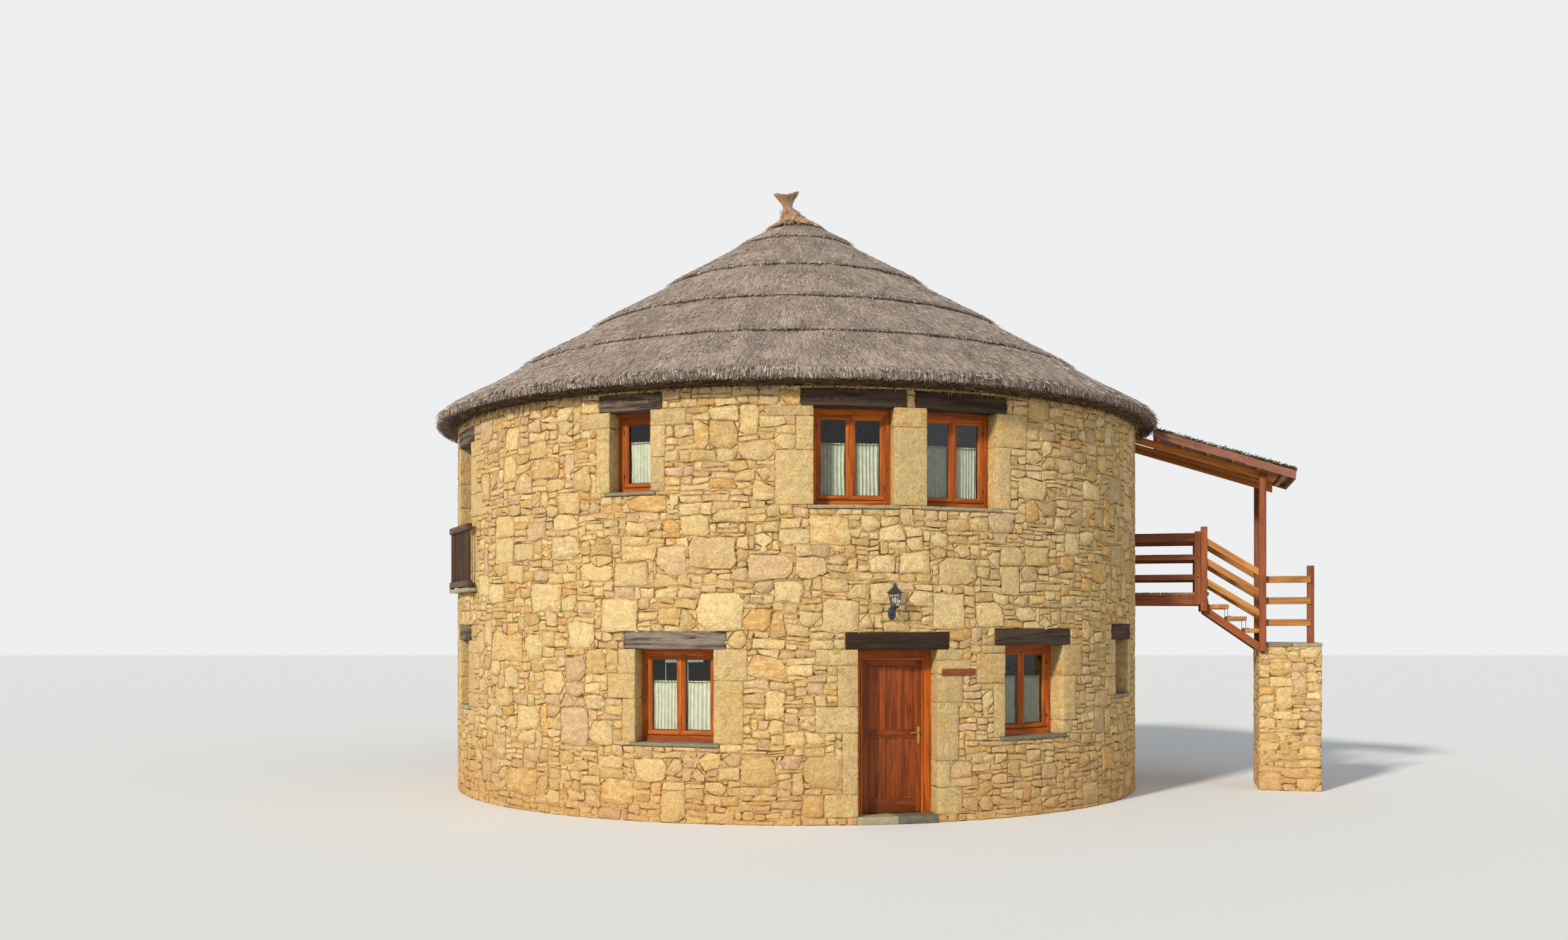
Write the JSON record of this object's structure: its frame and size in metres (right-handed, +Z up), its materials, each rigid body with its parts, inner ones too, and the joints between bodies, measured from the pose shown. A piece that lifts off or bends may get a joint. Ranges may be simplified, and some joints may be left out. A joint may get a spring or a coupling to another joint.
{
  "type": "rondavel hut",
  "caption": "Round two-storey stone hut with a conical thatched roof, timber windows and door, and a covered timber landing with steps.",
  "frame": {"origin": "centre of the round wall's foot, at the level of the lowest masonry", "axes": "+Z up the hut's axis, front towards -Y, landing towards +X"},
  "size_m": [14.01, 11.424, 9.6396],
  "materials": {
    "granite": "warm ochre granite rubble with dressed jamb stones and sandy joints",
    "slate": "rough grey-green slate slab",
    "oak": "old dark oak, weathered",
    "stained_timber": "orange-brown stained joinery",
    "brown_timber": "red-brown stained posts and rails",
    "pale_timber": "lighter stained boards and beams",
    "fascia": "mauve-brown weathered verge boards",
    "straw": "weathered grey-brown thatch",
    "pale_straw": "sheltered pale straw",
    "moss": "old thatch with moss",
    "cloth": "gathered cream cotton",
    "pane": "clear window glass",
    "bronze": "dull brass",
    "iron": "dark grey painted metal"
  },
  "bodies": {
    "hut": {"ground_floor": "slate", "upper_floor": "pale_timber", "wall_front_left": "granite", "wall_over_door": "granite", "wall_front_right": "granite", "wall_right": "granite", "wall_back_right": "granite", "wall_back": "granite", "wall_left": "granite", "lintels": "oak", "sills": "slate", "window_frames": "stained_timber", "casements": "stained_timber", "window_panes": "pane", "curtains": "cloth", "french_window": "stained_timber", "balcony_slab": "slate", "balcony_railing": "oak", "door_frames": "stained_timber", "side_door_leaf": "stained_timber", "wall_plate": "oak", "rafters": "oak", "crown_block": "oak", "eave_roll": "pale_straw", "thatch_course_1": "straw", "thatch_course_2": "straw", "thatch_course_3": "straw", "thatch_course_4": "straw", "thatch_course_5": "straw", "roof_tuft": "straw", "canopy_beams": "pale_timber", "canopy_posts": "brown_timber", "canopy_purlins": "pale_timber", "canopy_boards": "pale_timber", "verge_boards": "fascia", "canopy_cover": "moss", "landing_deck": "pale_timber", "landing_frame": "brown_timber", "stair_treads": "pale_timber", "tread_brackets": "iron", "landing_railing": "brown_timber", "stair_railing": "brown_timber", "fence_bay": "brown_timber", "abutment_wall": "granite", "abutment_coping": "slate", "lamp_body": "iron", "lamp_glass": "pane", "name_plank": "oak"},
    "front_door": {"front_door_leaf": "stained_timber", "front_door_handle": "bronze"}
  },
  "joints": [
    {"name": "front_door_hinge", "type": "hinge", "parent": "hut", "child": "front_door", "pos_m": [0.7834, -4.9983, 1.1], "axis": [0, 0, 1], "range_deg": [0, 95]}
  ]
}
